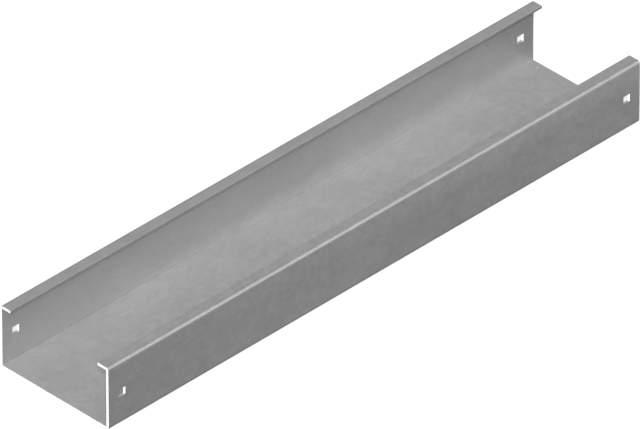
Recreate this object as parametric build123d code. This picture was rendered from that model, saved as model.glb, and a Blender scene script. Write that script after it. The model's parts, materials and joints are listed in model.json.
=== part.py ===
from build123d import *
import os

# Cable tray: one length of plain sheet steel, folded four times into an open channel.
# The base lies flat, a side wall stands along each edge of it, and a narrow lip turns
# inwards along the top of each wall. Both ends are cut square and left open. Near each
# end, a square hole through each wall takes the bolt that joins on the next length.
#
# Millimetres. X runs along the tray, Y across it from the right wall to the left wall,
# and Z up. The origin is under the middle of the base.

# Channel
LENGTH = 500.0  # from cut end to cut end
WIDTH = 102.0  # over the outer faces of the two walls
HEIGHT = 50.0  # from the underside of the base to the top of the lips
LIP = 10.0  # from a wall's outer face to the free edge of its lip

# Sheet
SHEET = 2.0  # thickness
INNER_BEND = 0.5  # radius inside each of the four folds
EDGE_ROUND = 0.3  # on the lips' free edges, which the cables are drawn over

# Joining holes
HOLE = 6.0  # across the flats
HOLE_CORNER = 0.4  # radius that the punch leaves in each corner
HOLE_FROM_END = 12.5  # from a cut end to the centre of the hole
HOLE_HEIGHT = 25.0  # from the underside of the base to the centre of the hole


def folded_section():
    """The section across the tray: its outer face as one path, thickened inwards."""
    wall = WIDTH / 2
    free_edge = wall - LIP
    outer_bend = INNER_BEND + SHEET
    outer_face = FilletPolyline(
        (-free_edge, HEIGHT),
        (-wall, HEIGHT),
        (-wall, 0),
        (wall, 0),
        (wall, HEIGHT),
        (free_edge, HEIGHT),
        radius=outer_bend,
    )
    sheet = make_face(offset(outer_face, amount=SHEET, side=Side.LEFT).edges())
    free_corners = sheet.vertices().group_by(lambda corner: abs(corner.X))[0]
    return fillet(free_corners, min(EDGE_ROUND, 0.45 * SHEET))


def channel():
    """The folded sheet at its full length, before it is punched."""
    return extrude(Plane.YZ * folded_section(), amount=LENGTH / 2, both=True)


def punches():
    """The square tools that go through both walls, one near each end."""
    outline = RectangleRounded(HOLE, HOLE, HOLE_CORNER)
    reach = LENGTH / 2 - HOLE_FROM_END
    return [
        extrude(Plane.XZ * Pos(place, HOLE_HEIGHT) * outline, amount=WIDTH, both=True)
        for place in (-reach, reach)
    ]


tray_channel = channel() - punches()

os.makedirs("parts", exist_ok=True)
export_step(tray_channel, "parts/tray_channel.step")
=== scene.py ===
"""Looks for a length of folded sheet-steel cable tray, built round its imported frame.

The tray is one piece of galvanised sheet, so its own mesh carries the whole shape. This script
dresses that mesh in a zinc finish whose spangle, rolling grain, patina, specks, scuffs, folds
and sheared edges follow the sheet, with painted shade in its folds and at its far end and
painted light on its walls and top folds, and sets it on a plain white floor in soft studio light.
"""

import json
import logging
import math
from dataclasses import astuple, dataclass
from enum import Enum
from functools import reduce
from typing import ClassVar

import bmesh
import bpy
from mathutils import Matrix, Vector


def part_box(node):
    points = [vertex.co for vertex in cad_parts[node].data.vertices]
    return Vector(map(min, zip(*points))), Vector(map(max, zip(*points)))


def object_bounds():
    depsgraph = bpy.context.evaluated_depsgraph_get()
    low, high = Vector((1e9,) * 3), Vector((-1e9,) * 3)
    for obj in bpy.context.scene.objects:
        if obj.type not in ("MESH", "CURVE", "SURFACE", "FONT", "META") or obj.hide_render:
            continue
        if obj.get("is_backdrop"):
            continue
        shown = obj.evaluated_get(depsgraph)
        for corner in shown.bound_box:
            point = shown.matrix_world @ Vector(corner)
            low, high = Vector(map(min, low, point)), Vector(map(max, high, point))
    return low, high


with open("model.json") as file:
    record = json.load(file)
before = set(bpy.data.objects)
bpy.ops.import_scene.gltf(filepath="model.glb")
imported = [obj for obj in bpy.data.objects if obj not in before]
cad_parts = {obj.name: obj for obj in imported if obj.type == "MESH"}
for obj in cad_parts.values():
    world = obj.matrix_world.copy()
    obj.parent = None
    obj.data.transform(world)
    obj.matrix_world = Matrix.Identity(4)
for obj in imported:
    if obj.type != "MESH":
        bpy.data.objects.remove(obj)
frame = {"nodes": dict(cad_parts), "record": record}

LOG = logging.getLogger("cable_tray")
MM = 0.001

Socket = bpy.types.NodeSocket
Outputs = bpy.types.NodeOutputs
Source = Socket | float | tuple
Triple = tuple[float, float, float]
Colour = tuple[float, float, float, float]

# The value at which a mask is still 0, then the one at which it has become 1.
Fade = tuple[float, float]

# Inputs that each finish feeds itself: a place on the tray, and a number.
PLACE = ("Vector", None)
NUMBER = ("Float", None)

WHITE: Colour = (1.0, 1.0, 1.0, 1.0)
# The values that most of a cloudy pattern takes, and the middle of one that has three channels.
PATTERN_SPAN = (0.2, 0.8)
PATTERN_MIDDLE: Triple = (0.5, 0.5, 0.5)


class LampKind(Enum):
    """Whether a lamp's light casts shadows, and whether the lamp shows in reflections."""

    FULL = (True, True)
    OPEN = (False, True)
    FACE_ONLY = (False, False)


class Spangle(Enum):
    """How large the zinc's crystals grew, in millimetres across."""

    MINIMISED = 1.5
    REGULAR = 3.0
    LARGE = 10.0


def towards(azimuth: float, elevation: float) -> Vector:
    """Find the direction from the tray to something round it.

    Args:
        azimuth: Round from -Y towards +X, in degrees.
        elevation: Above the horizon, in degrees.

    Returns:
        The direction, one unit long.
    """
    turn, rise = math.radians(azimuth), math.radians(elevation)
    level = math.cos(rise)
    return Vector((math.sin(turn) * level, -math.cos(turn) * level, math.sin(rise)))


def stand(made: bpy.types.Object, back: Vector, place: Vector) -> bpy.types.Object:
    """Put a lamp or a camera in the scene, facing against a direction.

    Args:
        made: The object.
        back: The direction that it faces away from.
        place: Where it stands.

    Returns:
        The same object.
    """
    made.rotation_mode = "QUATERNION"
    made.rotation_quaternion = back.to_track_quat("Z", "Y")
    made.location = place
    bpy.context.scene.collection.objects.link(made)
    return made


@dataclass(frozen=True)
class TraySizes:
    """The tray's driving sizes, in metres unless they are asked for in millimetres.

    Attributes:
        length: Cut end to cut end.
        width: Over the outer faces of the walls.
        height: Underside of the base to the tops of the lips.
        hole_reach: Middle of the tray to the centre of an end's holes.
        hole_height: Underside of the base to the centres of the holes.
        sheet: Thickness of the sheet.
        outer_bend: Radius outside each fold.
        lip: A wall's outer face to its lip's free edge.
        hole: Across the flats of a square hole.
    """

    length: float
    width: float
    height: float
    hole_reach: float
    hole_height: float
    sheet: float = 2.0 * MM
    outer_bend: float = 2.5 * MM
    lip: float = 10.0 * MM
    hole: float = 6.0 * MM

    @classmethod
    def from_frame(cls, node: str, hole_mount: str) -> "TraySizes":
        """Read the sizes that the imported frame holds.

        Args:
            node: The tray's node.
            hole_mount: A mount at one of its square holes.

        Returns:
            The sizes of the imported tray.
        """
        low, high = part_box(node)
        mounts = {mount["name"]: mount for mount in frame["record"]["mounts"]}
        hole_x, _, hole_z = mounts[hole_mount]["pos_m"]
        return cls(high.x - low.x, high.y - low.y, high.z - low.z, abs(hole_x), hole_z)

    def in_mm(self) -> "TraySizes":
        """Return the same sizes in millimetres, the unit of the finish's patterns."""
        return TraySizes(*(size / MM for size in astuple(self)))


class Graph:
    """A node tree with short ways to add the nodes that the finishes use."""

    def __init__(self, tree: bpy.types.NodeTree) -> None:
        """Keep the tree that the nodes go into."""
        self.tree = tree

    def node(self, kind: str, **settings: object) -> bpy.types.Node:
        """Add a node.

        Args:
            kind: The node's type, such as ShaderNodeMath.
            **settings: Values for the node's own properties.

        Returns:
            The new node.
        """
        made = self.tree.nodes.new(kind)
        for name, value in settings.items():
            setattr(made, name, value)
        return made

    def feed(self, socket: Socket, source: Source) -> None:
        """Link a socket to what it comes from, or give it its value.

        Args:
            socket: The input to set.
            source: An output socket, a number or a tuple.
        """
        if isinstance(source, Socket):
            self.tree.links.new(source, socket)
        else:
            socket.default_value = source

    def chain(self, made: bpy.types.Node, *sources: Source) -> Socket:
        """Feed a node's inputs in order.

        Args:
            made: The node.
            *sources: What goes into its inputs, from the first one on.

        Returns:
            The output that the node's settings leave in use.
        """
        for socket, source in zip(made.inputs, sources):
            self.feed(socket, source)
        return next(socket for socket in made.outputs if socket.enabled)

    def math(self, operation: str, *values: Source) -> Socket:
        """Return the result of one operation on numbers."""
        return self.chain(self.node("ShaderNodeMath", operation=operation), *values)

    def product(self, *values: Source) -> Socket:
        """Return the numbers multiplied together."""
        return reduce(lambda so_far, value: self.math("MULTIPLY", so_far, value), values)

    def total(self, *values: Source) -> Socket:
        """Return the numbers added together."""
        return reduce(lambda so_far, value: self.math("ADD", so_far, value), values)

    def highest(self, *values: Source) -> Socket:
        """Return the highest of the numbers."""
        return reduce(lambda so_far, value: self.math("MAXIMUM", so_far, value), values)

    def difference(self, value: Source, taken: Source) -> Socket:
        """Return a number with another one taken off it."""
        return self.math("SUBTRACT", value, taken)

    def vector(self, operation: str, *values: Source) -> Socket:
        """Return the result of one operation on vectors."""
        return self.chain(self.node("ShaderNodeVectorMath", operation=operation), *values)

    def scaled(self, vector: Source, factor: Source) -> Socket:
        """Return a vector or a colour times a number.

        Args:
            vector: What is scaled.
            factor: The number.

        Returns:
            The scaled vector.
        """
        made = self.node("ShaderNodeVectorMath", operation="SCALE")
        self.feed(made.inputs["Vector"], vector)
        self.feed(made.inputs["Scale"], factor)
        return made.outputs["Vector"]

    def split(self, vector: Source) -> tuple[Socket, ...]:
        """Return a vector's X, Y and Z.

        Args:
            vector: What is split.

        Returns:
            Its three parts.
        """
        made = self.node("ShaderNodeSeparateXYZ")
        self.feed(made.inputs[0], vector)
        return tuple(made.outputs)

    def join(self, *parts: Source) -> Socket:
        """Return the vector with these X, Y and Z."""
        return self.chain(self.node("ShaderNodeCombineXYZ"), *parts)

    def turned(self, vector: Source, angles: Source) -> Socket:
        """Turn a vector round the origin.

        Args:
            vector: What is turned.
            angles: Round X, Y and Z, in radians.

        Returns:
            The turned vector.
        """
        made = self.node("ShaderNodeVectorRotate", rotation_type="EULER_XYZ")
        self.feed(made.inputs["Vector"], vector)
        self.feed(made.inputs["Rotation"], angles)
        return made.outputs["Vector"]

    def ramp(
        self, value: Source, low: Source, high: Source, to_low: Source = 0.0, to_high: Source = 1.0
    ) -> Socket:
        """Ease a value smoothly from one range to another.

        Args:
            value: What is mapped.
            low: Where the first end of its range lies.
            high: Where the other end lies.
            to_low: The result at the first end.
            to_high: The result at the other end.

        Returns:
            The mapped value.
        """
        made = self.node("ShaderNodeMapRange", interpolation_type="SMOOTHSTEP")
        return self.chain(made, value, low, high, to_low, to_high)

    def swing(self, value: Source, middle: float, contrast: float) -> Socket:
        """Turn a pattern's 0 to 1 into a small swing about a middle.

        Args:
            value: The pattern.
            middle: What its 0.5 becomes.
            contrast: The whole swing, from its dark parts to its light ones.

        Returns:
            The swinging value.
        """
        half = contrast / 2
        return self.ramp(value, *PATTERN_SPAN, middle - half, middle + half)

    def clouds(self, place: Source, pitch: Source, detail: float = 3.0, rough: float = 0.6) -> Outputs:
        """Add a cloudy pattern.

        Args:
            place: Where it is looked up.
            pitch: How many clouds fit in one unit.
            detail: How many finer layers are laid over it.
            rough: How strong each finer layer is.

        Returns:
            The pattern's outputs: Fac has one value, and Color three, all centred on one half.
        """
        made = self.node("ShaderNodeTexNoise")
        self.feed(made.inputs["Vector"], place)
        self.feed(made.inputs["Scale"], pitch)
        made.inputs["Detail"].default_value = detail
        made.inputs["Roughness"].default_value = rough
        return made.outputs

    def cells(self, place: Source, size: Source, feature: str = "F1") -> Outputs:
        """Add a pattern of irregular cells.

        Args:
            place: Where it is looked up.
            size: How far apart the cells' middles lie.
            feature: F1 measures from the middles, and DISTANCE_TO_EDGE from the borders.

        Returns:
            The pattern's outputs.
        """
        made = self.node("ShaderNodeTexVoronoi", feature=feature)
        self.feed(made.inputs["Vector"], place)
        self.feed(made.inputs["Scale"], self.math("DIVIDE", 1.0, size))
        return made.outputs

    def mix(self, kind: str, factor: Source, first: Source, second: Source) -> Socket:
        """Mix two colours or two numbers.

        Args:
            kind: RGBA for colours or FLOAT for numbers.
            factor: How much of the second there is.
            first: What a factor of 0 gives.
            second: What a factor of 1 gives.

        Returns:
            The mixture.
        """
        made = self.node("ShaderNodeMix", data_type=kind)
        for name, source in (("Factor", factor), ("A", first), ("B", second)):
            self.feed(made.inputs[name], source)
        return made.outputs["Result"]

    def bump(self, height: Source, depth: float, normal: Source | None = None) -> Socket:
        """Turn a height into a normal.

        Args:
            height: The relief, from 0 to 1.
            depth: What a height of 1 stands for, in metres.
            normal: The normal that it is laid on, or None for the surface's own.

        Returns:
            The bent normal.
        """
        made = self.node("ShaderNodeBump")
        made.inputs["Distance"].default_value = depth
        self.feed(made.inputs["Height"], height)
        if normal is not None:
            self.feed(made.inputs["Normal"], normal)
        return made.outputs["Normal"]

    def place(self, effect: "EffectGroup", **values: Source) -> Outputs:
        """Put an effect's node group here with its own values.

        Args:
            effect: The effect.
            **values: A value or a source for each named input, with _ for each space.

        Returns:
            The group's outputs.
        """
        made = self.node("ShaderNodeGroup", node_tree=effect.build())
        for name, value in values.items():
            self.feed(made.inputs[name.replace("_", " ")], value)
        return made.outputs


@dataclass(frozen=True)
class EffectGroup:
    """A shader node group with named sockets, built once and placed in any finish.

    Attributes:
        name: What the group is called.
        inputs: Each input's kind, and its value where a finish gives none.
        outputs: Each output's kind.
    """

    name: ClassVar[str]
    inputs: ClassVar[dict[str, tuple[str, float | None]]]
    outputs: ClassVar[dict[str, str]]

    def build(self) -> bpy.types.NodeTree:
        """Make the group, or find the one made before.

        Returns:
            The node group.
        """
        found = bpy.data.node_groups.get(self.name)
        if found:
            return found
        tree = bpy.data.node_groups.new(self.name, "ShaderNodeTree")
        for name, (kind, default) in self.inputs.items():
            socket = tree.interface.new_socket(name, in_out="INPUT", socket_type=f"NodeSocket{kind}")
            if default is not None:
                socket.default_value = default
        for name, kind in self.outputs.items():
            tree.interface.new_socket(name, in_out="OUTPUT", socket_type=f"NodeSocket{kind}")
        graph = Graph(tree)
        results = self.draw(graph, graph.node("NodeGroupInput").outputs)
        ends = graph.node("NodeGroupOutput").inputs
        for name, result in results.items():
            graph.feed(ends[name], result)
        return tree

    def draw(self, graph: Graph, given: Outputs) -> dict[str, Socket]:
        """Add the group's nodes.

        Args:
            graph: The group's own graph.
            given: The sockets of its inputs.

        Returns:
            What feeds each named output.
        """
        raise NotImplementedError


@dataclass(frozen=True)
class SectionSpot:
    """Where a point lies in the folded section, with its lengths in millimetres.

    Attributes:
        along: From the middle of the length towards the far end.
        up: Above the underside of the base.
        off_centre: From the middle of the width, to either side.
        past_side: Past the end of the base's or a lip's flat, towards the wall.
        past_rise: Past the end of a wall's flat, towards the base or the lip.
        round_bend: past_side as a share of the bend's radius, so that a wall's outer face is at 1.
        depth: Below the outer skin.
        outer_skin: 1 at the outer skin, and 0 deeper in the sheet.
        inner_skin: 1 at the inner skin, and 0 further out.
        on_top: 1 as high as the top folds, and 0 below them.
        growth: 0 at the near end, rising to 1 in the far half.
    """

    along: Socket
    up: Socket
    off_centre: Socket
    past_side: Socket
    past_rise: Socket
    round_bend: Socket
    depth: Socket
    outer_skin: Socket
    inner_skin: Socket
    on_top: Socket
    growth: Socket


@dataclass(frozen=True)
class FoldedSection(EffectGroup):
    """The depth in the folded sheet, and masks of its wear and of its painted light and shade.

    Attributes:
        outer_skin_fade: Depths for the mask of the outer skin, in millimetres.
        inner_skin_fade: Depths for the mask of the inner skin, in millimetres.
        top_reach: How far down the top folds count, in bend radii.
        growth_fade: Places along the tray from its middle, as shares of half its length.
        fold_fade: Past the end of a flat, in millimetres.
        rub_fade: Past the end of a lip's flat, in millimetres.
        lip_fade: Back from the wall to the lip, as shares of the bend's radius.
        edge_fade: From a lip's free edge, in millimetres.
        wall_fade: From the lip to the wall, as shares of the bend's radius.
        band_fade: Below the lips' tops, in millimetres.
        foot_wall_fade: Past the end of the base's flat, in millimetres.
        foot_fade: Past the lower end of a wall's flat, in millimetres.
        foot_growth_fade: Values of the growth at which the painted light on the walls' feet sets in and
            is full.
        far_end_fade: From the far end, in millimetres.
    """

    name = "folded_section"
    inputs = {
        "Place": PLACE,
        "Half Length": NUMBER,
        "Width": NUMBER,
        "Height": NUMBER,
        "Outer Bend": NUMBER,
        "Lip": NUMBER,
    }
    outputs = {
        "Depth": "Float",
        "Rubbed Highlight Fold": "Float",
        "Shaded Fold": "Float",
        "Lip": "Float",
        "Free Edge": "Float",
        "Highlight Band": "Float",
        "Lit Foot": "Float",
        "Shaded End": "Float",
    }
    outer_skin_fade: Fade = (1.2, 0.2)
    inner_skin_fade: Fade = (0.8, 1.8)
    top_reach: float = 2.0
    growth_fade: Fade = (-1.0, 0.75)
    fold_fade: Fade = (-0.7, 0.7)
    rub_fade: Fade = (0.0, 1.2)
    lip_fade: Fade = (0.5, 0.0)
    edge_fade: Fade = (0.9, 0.0)
    wall_fade: Fade = (0.93, 1.0)
    band_fade: Fade = (23.0, 7.0)
    foot_wall_fade: Fade = (0.0, 0.4)
    foot_fade: Fade = (-14.0, 0.0)
    foot_growth_fade: Fade = (0.0, 0.45)
    far_end_fade: Fade = (100.0, 30.0)

    def draw(self, graph: Graph, given: Outputs) -> dict[str, Socket]:
        """Find where the point lies, then draw the masks.

        Args:
            graph: The group's own graph.
            given: The place on the tray and the section's sizes, in millimetres.

        Returns:
            The depth below the outer skin, and each mask.
        """
        spot = self._spot(graph, given)
        lips = self._folds_and_lips(graph, given, spot)
        return {"Depth": spot.depth} | lips | self._walls_and_end(graph, given, spot)

    def _spot(self, graph: Graph, given: Outputs) -> SectionSpot:
        """Measure from the rounded rectangle that the outer skin follows.

        Args:
            graph: The group's own graph.
            given: The place on the tray and the section's sizes.

        Returns:
            Where the point lies.
        """
        along, across, up = graph.split(given["Place"])
        bend = given["Outer Bend"]
        half_width = graph.product(given["Width"], 0.5)
        half_height = graph.product(given["Height"], 0.5)
        off_centre = graph.math("ABSOLUTE", across)
        off_middle = graph.math("ABSOLUTE", graph.difference(up, half_height))
        past_side = graph.difference(off_centre, graph.difference(half_width, bend))
        past_rise = graph.difference(off_middle, graph.difference(half_height, bend))
        corner_side, corner_rise = (graph.highest(past, 0.0) for past in (past_side, past_rise))
        corner = graph.vector("LENGTH", graph.join(corner_side, corner_rise, 0.0))
        flat = graph.math("MINIMUM", graph.highest(past_side, past_rise), 0.0)
        depth = graph.difference(bend, graph.total(corner, flat))
        top_folds = graph.difference(given["Height"], graph.product(bend, self.top_reach))
        onwards = graph.math("DIVIDE", along, given["Half Length"])
        return SectionSpot(
            along=along,
            up=up,
            off_centre=off_centre,
            past_side=past_side,
            past_rise=past_rise,
            round_bend=graph.math("DIVIDE", past_side, bend),
            depth=depth,
            outer_skin=graph.ramp(depth, *self.outer_skin_fade),
            inner_skin=graph.ramp(depth, *self.inner_skin_fade),
            on_top=graph.math("GREATER_THAN", up, top_folds),
            growth=graph.ramp(onwards, *self.growth_fade),
        )

    def _folds_and_lips(self, graph: Graph, given: Outputs, spot: SectionSpot) -> dict[str, Socket]:
        """Mask the folds, the lips and the lips' free edges.

        Args:
            graph: The group's own graph.
            given: The section's sizes.
            spot: Where the point lies.

        Returns:
            Masks of the top folds' outer skin, worn and with a painted highlight, of the folds' other
            faces, which take painted shade, of the lips and of the lips' free edges.
        """
        fold = graph.ramp(graph.math("MINIMUM", spot.past_side, spot.past_rise), *self.fold_fade)
        rub = graph.ramp(spot.past_side, *self.rub_fade)
        # The top folds' outer skin: real wear, and a painted highlight along the bends.
        rubbed = graph.product(fold, rub, spot.outer_skin, spot.on_top)
        edge_line = graph.difference(graph.product(given["Width"], 0.5), given["Lip"])
        off_edge = graph.math("ABSOLUTE", graph.difference(spot.off_centre, edge_line))
        return {
            "Rubbed Highlight Fold": rubbed,
            # The folds' other faces are painted darker, as shade in the creases and under the bottom
            # bends.
            "Shaded Fold": graph.difference(fold, rubbed),
            "Lip": graph.product(graph.ramp(spot.round_bend, *self.lip_fade), spot.on_top),
            "Free Edge": graph.product(graph.ramp(off_edge, *self.edge_fade), spot.on_top),
        }

    def _walls_and_end(self, graph: Graph, given: Outputs, spot: SectionSpot) -> dict[str, Socket]:
        """Mask the painted highlight bands outside the walls, the painted light on their feet and the
        painted shade inside the far end.

        Args:
            graph: The group's own graph.
            given: The section's sizes.
            spot: Where the point lies.

        Returns:
            Masks of the painted highlight bands outside the walls, of the painted light on the walls'
            feet inside, and of the painted shade inside near the far end.
        """
        wall = graph.ramp(spot.round_bend, *self.wall_fade)
        band = graph.ramp(graph.difference(given["Height"], spot.up), *self.band_fade)
        half_height = graph.product(given["Height"], 0.5)
        foot = graph.product(
            graph.ramp(spot.past_side, *self.foot_wall_fade),
            graph.ramp(spot.past_rise, *self.foot_fade),
            graph.math("LESS_THAN", spot.up, half_height),
        )
        lit_growth = graph.ramp(spot.growth, *self.foot_growth_fade)
        far_end = graph.ramp(graph.difference(given["Half Length"], spot.along), *self.far_end_fade)
        return {
            # Painted highlight band on the walls' outside, growing towards the far end.
            "Highlight Band": graph.product(band, wall, spot.growth, spot.outer_skin),
            # Painted light on the walls' feet inside, growing towards the far end.
            "Lit Foot": graph.product(foot, lit_growth, spot.inner_skin),
            # Painted shade inside the far end.
            "Shaded End": graph.product(far_end, spot.inner_skin),
        }


@dataclass(frozen=True)
class ShearedFaces(EffectGroup):
    """The faces left by the shear and the punch, and the narrow rims round them.

    Attributes:
        tolerance: How far from a cut a point still counts as on it, in millimetres.
        rim_fade: From a cut, in millimetres.
        wall_margin: How far inside a wall's inner face its holes still count, in millimetres.
    """

    name = "sheared_faces"
    inputs = {
        "Place": PLACE,
        "Half Length": NUMBER,
        "Hole Reach": NUMBER,
        "Hole Height": NUMBER,
        "Half Hole": NUMBER,
        "Wall Inside": NUMBER,
    }
    outputs = {"Sheared": "Float", "Rim": "Float"}
    tolerance: float = 0.004
    rim_fade: Fade = (0.7, 0.0)
    wall_margin: float = 1.0

    def draw(self, graph: Graph, given: Outputs) -> dict[str, Socket]:
        """Measure from the cut ends and from the square holes, in millimetres.

        Args:
            graph: The group's own graph.
            given: The place on the tray, and where its ends, holes and walls' inner faces lie.

        Returns:
            Masks of the sheared faces and of the narrow rims round them.
        """
        along, across, up = graph.split(given["Place"])
        reach = graph.math("ABSOLUTE", along)
        end_gap = graph.difference(given["Half Length"], reach)
        from_x = graph.math("ABSOLUTE", graph.difference(reach, given["Hole Reach"]))
        from_z = graph.math("ABSOLUTE", graph.difference(up, given["Hole Height"]))
        hole_gap = graph.difference(graph.highest(from_x, from_z), given["Half Hole"])
        wall_line = graph.difference(given["Wall Inside"], self.wall_margin)
        in_wall = graph.math("GREATER_THAN", graph.math("ABSOLUTE", across), wall_line)
        at_hole = graph.product(graph.math("LESS_THAN", hole_gap, self.tolerance), in_wall)
        at_end = graph.math("LESS_THAN", end_gap, self.tolerance)
        near_hole = graph.product(graph.ramp(hole_gap, *self.rim_fade), in_wall)
        near_end = graph.ramp(end_gap, *self.rim_fade)
        return {"Sheared": graph.highest(at_hole, at_end), "Rim": graph.highest(near_hole, near_end)}


@dataclass(frozen=True)
class ZincSpangle(EffectGroup):
    """The crystals of a zinc coat: a tone, feathers and a leaning normal for each one.

    Attributes:
        wander_pitch: How often the crystals' borders wander, per millimetre.
        wander_reach: How far they wander, in millimetres.
        feather_pitch: How often a crystal's feathers repeat along and across it, per millimetre.
    """

    name = "zinc_spangle"
    inputs = {
        "Place": PLACE,
        "Crystal": NUMBER,
        "Lean": NUMBER,
        "Feather": ("Float", 0.45),
    }
    outputs = {"Tone": "Float", "Feathers": "Float", "Normal": "Vector"}
    wander_pitch: float = 0.55
    wander_reach: float = 2.2
    feather_pitch: Triple = (0.25, 2.6, 2.6)

    def draw(self, graph: Graph, given: Outputs) -> dict[str, Socket]:
        """Split the sheet into crystals with ragged borders, each hatched its own way.

        Args:
            graph: The group's own graph.
            given: The place on the tray, the crystals' size, lean and share of feathers.

        Returns:
            The crystals' tone and feathers from 0 to 1, and their leaning normal.
        """
        place = given["Place"]
        wander = graph.clouds(place, self.wander_pitch, detail=2.0, rough=0.5)["Color"]
        off_middle = graph.vector("SUBTRACT", wander, PATTERN_MIDDLE)
        ragged = graph.vector("ADD", place, graph.scaled(off_middle, self.wander_reach))
        drawn = graph.cells(ragged, given["Crystal"])["Color"]
        hatched = graph.turned(place, graph.scaled(drawn, 2.0 * math.pi))
        feathers = graph.clouds(graph.vector("MULTIPLY", hatched, self.feather_pitch), 1.0)["Fac"]
        tone = graph.mix("FLOAT", given["Feather"], graph.split(drawn)[0], feathers)
        lean = graph.scaled(graph.vector("SUBTRACT", drawn, PATTERN_MIDDLE), given["Lean"])
        surface = graph.node("ShaderNodeNewGeometry").outputs["Normal"]
        normal = graph.vector("NORMALIZE", graph.vector("ADD", surface, lean))
        return {"Tone": tone, "Feathers": feathers, "Normal": normal}


@dataclass(frozen=True)
class RollingGrain(EffectGroup):
    """Faint streaks that the mill's rolls leave along the sheet.

    Attributes:
        hairlines_per_streak: How many hairlines lie side by side in one streak.
    """

    name = "rolling_grain"
    inputs = {"Place": PLACE, "Width": ("Float", 1.2), "Stretch": ("Float", 30.0)}
    outputs = {"Streak": "Float", "Hairline": "Float"}
    hairlines_per_streak: float = 6.0

    def draw(self, graph: Graph, given: Outputs) -> dict[str, Socket]:
        """Stretch one broad and one fine cloudy pattern along the tray.

        Args:
            graph: The group's own graph.
            given: The place on the tray, a streak's width and how much longer it is.

        Returns:
            The broad streaks and the fine hairlines, from 0 to 1.
        """
        along, across, up = graph.split(given["Place"])
        drawn_out = graph.join(graph.math("DIVIDE", along, given["Stretch"]), across, up)
        pitch = graph.math("DIVIDE", 1.0, given["Width"])
        fine_pitch = graph.product(pitch, self.hairlines_per_streak)
        return {
            "Streak": graph.clouds(drawn_out, pitch, rough=0.55)["Fac"],
            "Hairline": graph.clouds(drawn_out, fine_pitch, detail=2.0)["Fac"],
        }


@dataclass(frozen=True)
class HandlingScuffs(EffectGroup):
    """Sparse thin scratches, gathered in patches, from carrying and stacking.

    Attributes:
        slenderness: What places are multiplied by, so that the scratches lie long along the tray.
        patch_pitch: How many patches fit in one millimetre.
        patch_fade_width: How far above the cover's value all of a patch's scratches show.
    """

    name = "handling_scuffs"
    inputs = {
        "Place": PLACE,
        "Spacing": ("Float", 22.0),
        "Line": ("Float", 0.012),
        "Cover": ("Float", 0.56),
        "Turn": ("Float", 0.35),
    }
    outputs = {"Scuff": "Float"}
    slenderness: Triple = (0.12, 1.0, 1.0)
    patch_pitch: float = 0.045
    patch_fade_width: float = 0.08

    def draw(self, graph: Graph, given: Outputs) -> dict[str, Socket]:
        """Draw long thin cell borders, and keep them only inside the patches.

        Args:
            graph: The group's own graph.
            given: The place on the tray, the scratches' spacing, width, cover and turn.

        Returns:
            A mask of the scratches.
        """
        turned = graph.turned(given["Place"], graph.join(0.0, 0.0, given["Turn"]))
        drawn_out = graph.vector("MULTIPLY", turned, self.slenderness)
        border = graph.cells(drawn_out, given["Spacing"], "DISTANCE_TO_EDGE")["Distance"]
        line = graph.ramp(border, given["Line"], 0.0)
        patch = graph.clouds(given["Place"], self.patch_pitch)["Fac"]
        full_cover = graph.total(given["Cover"], self.patch_fade_width)
        return {"Scuff": graph.product(line, graph.ramp(patch, given["Cover"], full_cover))}


@dataclass(frozen=True)
class ZincSpecks(EffectGroup):
    """Sparse pimples of dross in the coat, and the pinholes among them."""

    name = "zinc_specks"
    inputs = {
        "Place": PLACE,
        "Spacing": ("Float", 6.0),
        "Radius": ("Float", 0.55),
        "Share": ("Float", 0.4),
    }
    outputs = {"Pimple": "Float", "Pinhole": "Float"}

    def draw(self, graph: Graph, given: Outputs) -> dict[str, Socket]:
        """Draw a small round speck at the middle of some cells, light in one and dark in another.

        Args:
            graph: The group's own graph.
            given: The place on the tray, the specks' spacing and radius, and each kind's share.

        Returns:
            Masks of the pimples and of the pinholes.
        """
        cells = graph.cells(given["Place"], given["Spacing"])
        from_middle = graph.product(cells["Distance"], given["Spacing"])
        speck = graph.ramp(from_middle, given["Radius"], 0.0)
        first_draw, second_draw, _ = graph.split(cells["Color"])
        is_pimple = graph.math("LESS_THAN", first_draw, given["Share"])
        is_pinhole = graph.math("GREATER_THAN", second_draw, graph.difference(1.0, given["Share"]))
        only_pinhole = graph.highest(graph.difference(is_pinhole, is_pimple), 0.0)
        return {"Pimple": graph.product(speck, is_pimple), "Pinhole": graph.product(speck, only_pinhole)}


@dataclass(frozen=True)
class SheetEffects:
    """What the effect groups give, as one material has placed them.

    Attributes:
        section: Depth in the sheet, and masks of its folds, lips and free edges, of the painted
            highlight bands on the walls, of the painted light on their feet and of the painted far-end
            shade.
        cuts: Sheared faces and their rims.
        spangle: Crystals of the coat.
        grain: Streaks and hairlines along the sheet.
        scuffs: Scratches.
        specks: Pimples and pinholes.
    """

    section: Outputs
    cuts: Outputs
    spangle: Outputs
    grain: Outputs
    scuffs: Outputs
    specks: Outputs


@dataclass(frozen=True)
class Patina:
    """The clouds in which the zinc has dulled.

    Attributes:
        colour: Of the coat where it is wholly dulled.
        pitch: How many clouds fit in one millimetre.
        detail: How many finer layers are laid over them.
        fade: Values of the clouds at which the dulling sets in and is full.
    """

    colour: Colour = (0.407, 0.407, 0.407, 1.0)
    pitch: float = 0.02
    detail: float = 4.0
    fade: Fade = (0.35, 0.68)


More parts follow.
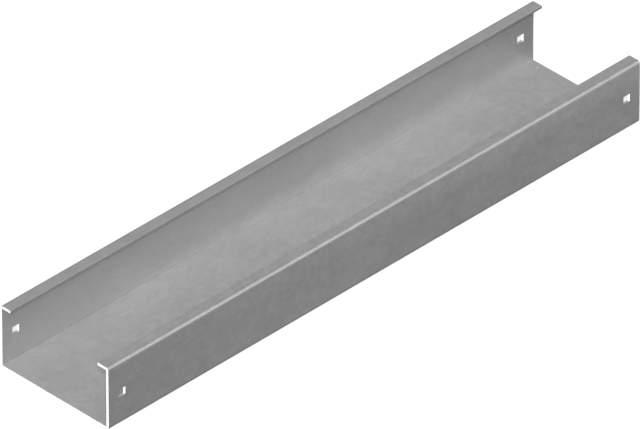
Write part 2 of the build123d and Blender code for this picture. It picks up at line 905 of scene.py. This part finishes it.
@dataclass(frozen=True)
class ToneShifts:
    """How much brighter than the plain coat its parts are, or darker where below 0, as shares; some are
    painted light and shade.

    Attributes:
        lip: The lips, darker than the base.
        fold: Painted shade in the folds, inside them and under the bottom bends, away from the top
            folds' outer skin.
        far_end: Painted shade on the inside near the far end.
        lit_foot: Painted light on the walls' feet inside, brightest towards the far end.
        highlight_band: A painted highlight along the top of the walls' outside, growing towards the far
            end.
        rub: What is rubbed: real wear, and on the top folds a painted highlight as well.
        pimple: The pimples of dross.
        pinhole: The pinholes.
    """

    lip: float = -0.17
    fold: float = -0.18
    far_end: float = -0.08
    lit_foot: float = 0.13
    highlight_band: float = 0.16
    rub: float = 0.15
    pimple: float = 0.10
    pinhole: float = -0.12


@dataclass(frozen=True)
class CoatRoughness:
    """How rough the zinc coat is.

    Attributes:
        average: Of the plain coat.
        spangle_contrast: Swing from crystal to crystal.
        hairline_contrast: Swing from hairline to hairline.
        rub: What is added where the coat is rubbed.
        top_fold: What is added besides on the top folds.
    """

    average: float = 0.5
    spangle_contrast: float = 0.07
    hairline_contrast: float = 0.06
    rub: float = -0.08
    top_fold: float = -0.04


@dataclass(frozen=True)
class SheetRelief:
    """How the sheet's surface leans, rises and falls.

    Attributes:
        lean: How far a crystal's face leans, as a slope.
        fine: Height of the crystals' feathers and of the hairlines, in metres.
        hairline_share: How much of that height is the hairlines'.
        wave: Height of the sheet's slow waves, in metres.
        wave_pitch: How many slow waves fit in one millimetre.
    """

    lean: float = 0.012
    fine: float = 0.007 * MM
    hairline_share: float = 0.4
    wave: float = 0.4 * MM
    wave_pitch: float = 0.012


@dataclass(frozen=True)
class ShearedSteel:
    """The bare steel of a sheared face: a burnished band by the outer skin, and a torn one below.

    Attributes:
        colour: Of the bare steel.
        torn_fade: Depths for the torn band, in millimetres.
        tones: Of the burnished and of the torn band, as shares of the colour.
        roughness: Of the burnished and of the torn band.
        torn_pitch: How many of a sheared face's grains fit in one millimetre.
    """

    colour: Triple = (0.44, 0.44, 0.44)
    torn_fade: Fade = (0.7, 0.9)
    tones: tuple[float, float] = (1.08, 0.92)
    roughness: tuple[float, float] = (0.35, 0.6)
    torn_pitch: float = 3.0


@dataclass(frozen=True)
class GalvanisedSteel:
    """Dull galvanised sheet, with bare steel where it was sheared.

    Attributes:
        zinc: Colour of the zinc coat.
        metallic: How much of the surface is clean metal.
        spangle: Size of the crystals.
        spangle_contrast: Swing of tone from crystal to crystal.
        streak_contrast: Swing of tone from streak to streak.
        hairline_contrast: Swing of tone from hairline to hairline.
        edge_wear: How worn the lips' free edges are, where a scratch counts 1.
        fold_wear_and_highlight: How worn the top folds are, which also paints a highlight along them.
        patina: Where the coat has dulled.
        tones: How its parts differ in tone, painted light and shade among them.
        roughness: How rough it is.
        relief: How its surface rises and falls.
        sheared: The steel of its sheared faces.
    """

    zinc: Colour = (0.437, 0.437, 0.437, 1.0)
    metallic: float = 0.7
    spangle: Spangle = Spangle.REGULAR
    spangle_contrast: float = 0.06
    streak_contrast: float = 0.05
    hairline_contrast: float = 0.05
    edge_wear: float = 0.3
    fold_wear_and_highlight: float = 0.35
    patina: Patina = Patina()
    tones: ToneShifts = ToneShifts()
    roughness: CoatRoughness = CoatRoughness()
    relief: SheetRelief = SheetRelief()
    sheared: ShearedSteel = ShearedSteel()

    def build(self, sizes: TraySizes) -> bpy.types.Material:
        """Make the material.

        Args:
            sizes: The tray's sizes, which place the folds, cut ends and holes.

        Returns:
            The finished material.
        """
        material = bpy.data.materials.new("galvanised_sheet")
        material.use_nodes = True
        graph = Graph(material.node_tree)
        shader = material.node_tree.nodes["Principled BSDF"]
        place = graph.scaled(graph.node("ShaderNodeTexCoord").outputs["Object"], 1.0 / MM)
        effects = self._effects(graph, place, sizes.in_mm())
        wear = self._wear(graph, effects)
        graph.feed(shader.inputs["Base Color"], self._colour(graph, place, effects, wear))
        graph.feed(shader.inputs["Roughness"], self._roughness(graph, effects, wear))
        graph.feed(shader.inputs["Normal"], self._normal(graph, place, effects))
        shader.inputs["Metallic"].default_value = self.metallic
        return material

    def _effects(self, graph: Graph, place: Socket, sizes: TraySizes) -> SheetEffects:
        """Place each effect group once.

        Args:
            graph: The material's graph.
            place: The place on the tray, in millimetres.
            sizes: The tray's sizes, in millimetres.

        Returns:
            The groups' outputs.
        """
        section = graph.place(
            FoldedSection(),
            Place=place,
            Half_Length=sizes.length / 2,
            Width=sizes.width,
            Height=sizes.height,
            Outer_Bend=sizes.outer_bend,
            Lip=sizes.lip,
        )
        cuts = graph.place(
            ShearedFaces(),
            Place=place,
            Half_Length=sizes.length / 2,
            Hole_Reach=sizes.hole_reach,
            Hole_Height=sizes.hole_height,
            Half_Hole=sizes.hole / 2,
            Wall_Inside=sizes.width / 2 - sizes.sheet,
        )
        lean = graph.product(graph.difference(1.0, cuts["Sheared"]), self.relief.lean)
        return SheetEffects(
            section,
            cuts,
            graph.place(ZincSpangle(), Place=place, Crystal=self.spangle.value, Lean=lean),
            graph.place(RollingGrain(), Place=place),
            graph.place(HandlingScuffs(), Place=place),
            graph.place(ZincSpecks(), Place=place),
        )

    def _wear(self, graph: Graph, effects: SheetEffects) -> Socket:
        """Find where the coat is rubbed: scratches, rims, free edges and the top folds, whose
        brightening is partly a painted highlight.

        Args:
            graph: The material's graph.
            effects: The effect groups' outputs.

        Returns:
            How worn the coat is, from 0 to 1.
        """
        edges = graph.product(effects.section["Free Edge"], self.edge_wear)
        folds = graph.product(effects.section["Rubbed Highlight Fold"], self.fold_wear_and_highlight)
        return graph.highest(effects.scuffs["Scuff"], effects.cuts["Rim"], edges, folds)

    def _colour(self, graph: Graph, place: Socket, effects: SheetEffects, wear: Socket) -> Socket:
        """Mix the base colour: the coat and its patina, their patterns and marks, painted light and
        shade, and bare steel.

        Args:
            graph: The material's graph.
            place: The place on the tray, in millimetres.
            effects: The effect groups' outputs.
            wear: How worn the coat is.

        Returns:
            The base colour.
        """
        clouds = graph.clouds(place, self.patina.pitch, detail=self.patina.detail)["Fac"]
        dulled = graph.ramp(clouds, *self.patina.fade)
        coat = graph.mix("RGBA", dulled, self.zinc, self.patina.colour)
        patterns = (
            (effects.spangle["Tone"], self.spangle_contrast),
            (effects.grain["Streak"], self.streak_contrast),
            (effects.grain["Hairline"], self.hairline_contrast),
        )
        # The fold, far-end, foot and wall-band shifts are painted light and shade; the rub on the top
        # folds is partly a painted highlight.
        marks = (
            (effects.section["Lip"], self.tones.lip),
            (effects.section["Shaded Fold"], self.tones.fold),
            (effects.section["Shaded End"], self.tones.far_end),
            (effects.section["Lit Foot"], self.tones.lit_foot),
            (effects.section["Highlight Band"], self.tones.highlight_band),
            (wear, self.tones.rub),
            (effects.specks["Pimple"], self.tones.pimple),
            (effects.specks["Pinhole"], self.tones.pinhole),
        )
        marked = graph.total(1.0, *(graph.product(mask, shift) for mask, shift in marks))
        swings = (graph.swing(pattern, 1.0, contrast) for pattern, contrast in patterns)
        coated = graph.scaled(coat, graph.product(marked, *swings))
        cut_tone = graph.ramp(effects.section["Depth"], *self.sheared.torn_fade, *self.sheared.tones)
        cut = graph.scaled(self.sheared.colour, cut_tone)
        return graph.mix("RGBA", effects.cuts["Sheared"], coated, cut)

    def _roughness(self, graph: Graph, effects: SheetEffects, wear: Socket) -> Socket:
        """Mix the roughness: crystals, hairlines and wear, then the two bands of a sheared face.

        Args:
            graph: The material's graph.
            effects: The effect groups' outputs.
            wear: How worn the coat is.

        Returns:
            The roughness.
        """
        coat, sheared = self.roughness, self.sheared
        coated = graph.total(
            graph.swing(effects.spangle["Tone"], coat.average, coat.spangle_contrast),
            graph.swing(effects.grain["Hairline"], 0.0, coat.hairline_contrast),
            graph.product(wear, coat.rub),
            graph.product(effects.section["Rubbed Highlight Fold"], coat.top_fold),
        )
        cut = graph.ramp(effects.section["Depth"], *sheared.torn_fade, *sheared.roughness)
        return graph.mix("FLOAT", effects.cuts["Sheared"], coated, cut)

    def _normal(self, graph: Graph, place: Socket, effects: SheetEffects) -> Socket:
        """Bend the normal: leaning crystals, slow waves, then the fine relief.

        Args:
            graph: The material's graph.
            place: The place on the tray, in millimetres.
            effects: The effect groups' outputs.

        Returns:
            The normal.
        """
        waves = graph.clouds(place, self.relief.wave_pitch, detail=1.0, rough=0.5)["Fac"]
        slow = graph.bump(waves, self.relief.wave, effects.spangle["Normal"])
        feathers, hairlines = effects.spangle["Feathers"], effects.grain["Hairline"]
        fine = graph.mix("FLOAT", self.relief.hairline_share, feathers, hairlines)
        raised = graph.total(fine, effects.specks["Pimple"])
        sunk = graph.total(effects.scuffs["Scuff"], effects.specks["Pinhole"])
        torn = graph.clouds(place, self.sheared.torn_pitch)["Fac"]
        height = graph.mix("FLOAT", effects.cuts["Sheared"], graph.difference(raised, sunk), torn)
        return graph.bump(height, self.relief.fine, slow)


@dataclass(frozen=True)
class WhiteFloor:
    """A plain pale floor, bright to the camera and dimmer in the light it sends back.

    Attributes:
        half_side: From its middle to its edge, in metres.
        seen: Tone that the camera sees.
        glow: White added to that tone, so that shadows on it stay pale.
        bounced: Tone for the light that it sends back to the tray.
    """

    half_side: float = 6.0
    seen: float = 0.42
    glow: float = 0.45
    bounced: float = 0.1

    def build(self, level: float) -> bpy.types.Object:
        """Make the floor.

        Args:
            level: Height of its top, in metres.

        Returns:
            The floor's object, marked as stage.
        """
        shape = bmesh.new()
        bmesh.ops.create_grid(shape, x_segments=1, y_segments=1, size=self.half_side)
        bmesh.ops.translate(shape, verts=shape.verts, vec=(0.0, 0.0, level))
        mesh = bpy.data.meshes.new("studio_floor")
        shape.to_mesh(mesh)
        shape.free()
        mesh.materials.append(self._material())
        floor = bpy.data.objects.new("studio_floor", mesh)
        bpy.context.scene.collection.objects.link(floor)
        floor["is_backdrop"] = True
        return floor

    def _material(self) -> bpy.types.Material:
        """Make the floor's matt white.

        Returns:
            The material.
        """
        material = bpy.data.materials.new("studio_white")
        material.use_nodes = True
        graph = Graph(material.node_tree)
        shader = material.node_tree.nodes["Principled BSDF"]
        by_camera = graph.node("ShaderNodeLightPath").outputs["Is Camera Ray"]
        graph.feed(shader.inputs["Base Color"], graph.mix("FLOAT", by_camera, self.bounced, self.seen))
        graph.feed(shader.inputs["Emission Strength"], graph.product(by_camera, self.glow))
        shader.inputs["Emission Color"].default_value = WHITE
        shader.inputs["Roughness"].default_value = 1.0
        shader.inputs["Specular IOR Level"].default_value = 0.0
        return material


@dataclass(frozen=True)
class SoftLamp:
    """A lamp far away, as wide in the sky as its softness says.

    Attributes:
        name: What the lamp does.
        azimuth: Where it stands, in degrees: 0 is at -Y and 90 at +X.
        elevation: How high it stands, in degrees.
        strength: Its light on a surface that faces it.
        softness: How wide it looks, in degrees.
        kind: What its light does besides lighting the faces turned to it.
    """

    name: str
    azimuth: float
    elevation: float
    strength: float
    softness: float = 40.0
    kind: LampKind = LampKind.FULL

    def build(self) -> bpy.types.Object:
        """Make the lamp, shining on the tray.

        Returns:
            The lamp's object.
        """
        lamp = bpy.data.lights.new(self.name, "SUN")
        lamp.energy = self.strength
        lamp.angle = math.radians(self.softness)
        made = bpy.data.objects.new(self.name, lamp)
        lamp.use_shadow, made.visible_glossy = self.kind.value
        back = towards(self.azimuth, self.elevation)
        return stand(made, back, back)


@dataclass(frozen=True)
class Studio:
    """The soft lamps and the white sky round the tray.

    Attributes:
        sky_seen: Brightness of the sky to the camera.
        sky_light: Brightness of the sky as a light on the tray.
        lamps: The lamps.
    """

    sky_seen: float = 1.1
    sky_light: float = 0.35
    lamps: tuple[SoftLamp, ...] = (
        SoftLamp("key_light", -45.0, 38.0, 3.48, softness=6.0),
        SoftLamp("high_light", -45.0, 60.0, 0.55),
        SoftLamp("top_light", -45.0, 75.0, 0.85),
        SoftLamp("bend_light", 45.0, 24.0, 0.4),
        SoftLamp("back_light", 180.0, 20.0, 0.96, softness=30.0, kind=LampKind.OPEN),
        SoftLamp("far_end_light", 90.0, 0.0, 10.0, softness=2.0, kind=LampKind.FACE_ONLY),
        SoftLamp("near_end_light", -90.0, 0.0, 26.0, softness=2.0, kind=LampKind.FACE_ONLY),
    )

    def build(self) -> list[bpy.types.Object]:
        """Make the sky and the lamps, and show their light without a film look.

        Returns:
            The lamps' objects.
        """
        world = bpy.data.worlds.new("white_sky")
        world.use_nodes = True
        graph = Graph(world.node_tree)
        by_camera = graph.node("ShaderNodeLightPath").outputs["Is Camera Ray"]
        sky = world.node_tree.nodes["Background"]
        sky.inputs["Color"].default_value = WHITE
        graph.feed(sky.inputs["Strength"], graph.mix("FLOAT", by_camera, self.sky_light, self.sky_seen))
        bpy.context.scene.world = world
        bpy.context.scene.view_settings.view_transform = "Standard"
        return [lamp.build() for lamp in self.lamps]


@dataclass(frozen=True)
class StudyCamera:
    """A camera far along the isometric direction, through a very long lens.

    Attributes:
        azimuth: Round from -Y towards +X, in degrees.
        elevation: Above the horizon, in degrees.
        distance: From the tray's middle, in metres.
        lens: Focal length, in millimetres.
        aim_right: How far right of the tray's middle it aims, in metres.
        aim_up: How far above it in the picture, in metres.
    """

    azimuth: float = -45.0
    elevation: float = 35.264
    distance: float = 13.0155
    lens: float = 1100.0
    aim_right: float = -1.787 * MM
    aim_up: float = -1.275 * MM

    def build(self, middle: Vector) -> bpy.types.Object:
        """Make the camera and give it to the scene.

        Args:
            middle: The middle of the tray.

        Returns:
            The camera's object.
        """
        back = towards(self.azimuth, self.elevation)
        right = Vector((0.0, 0.0, 1.0)).cross(back).normalized()
        up = back.cross(right)
        camera = bpy.data.cameras.new("study_camera")
        camera.lens = self.lens
        place = middle + back * self.distance + right * self.aim_right + up * self.aim_up
        made = stand(bpy.data.objects.new("study_camera", camera), back, place)
        bpy.context.scene.camera = made
        return made


@dataclass
class TrayChannel:
    """The tray itself: one folded sheet, shown by its own mesh.

    Attributes:
        node: Its node in the frame.
        hole_mount: A mount at one of its square holes.
        finish: What it is dressed in.
    """

    node: str = "tray_channel"
    hole_mount: str = "bolt_hole_right_near"
    finish: GalvanisedSteel = GalvanisedSteel()

    def build(self) -> bpy.types.Object:
        """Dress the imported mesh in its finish.

        Returns:
            The tray's object.
        """
        tray = frame["nodes"][self.node]
        sizes = TraySizes.from_frame(self.node, self.hole_mount)
        tray.data.materials.clear()
        tray.data.materials.append(self.finish.build(sizes))
        return tray


def main() -> None:
    """Build the tray's finish, the floor, the light and the camera."""
    logging.basicConfig(level=logging.INFO, format="%(name)s: %(message)s")
    low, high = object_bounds()
    tray = TrayChannel().build()
    LOG.info("piece %s wears %s", tray.name, tray.data.materials[0].name)
    floor = WhiteFloor().build(low.z)
    LOG.info("stage %s lies at %.4f m", floor.name, low.z)
    for lamp in Studio().build():
        LOG.info("lamp %s stands ready", lamp.name)
    camera = StudyCamera().build((low + high) / 2)
    LOG.info("camera %s looks through a %.0f mm lens", camera.name, camera.data.lens)


if __name__ == "__main__":
    main()
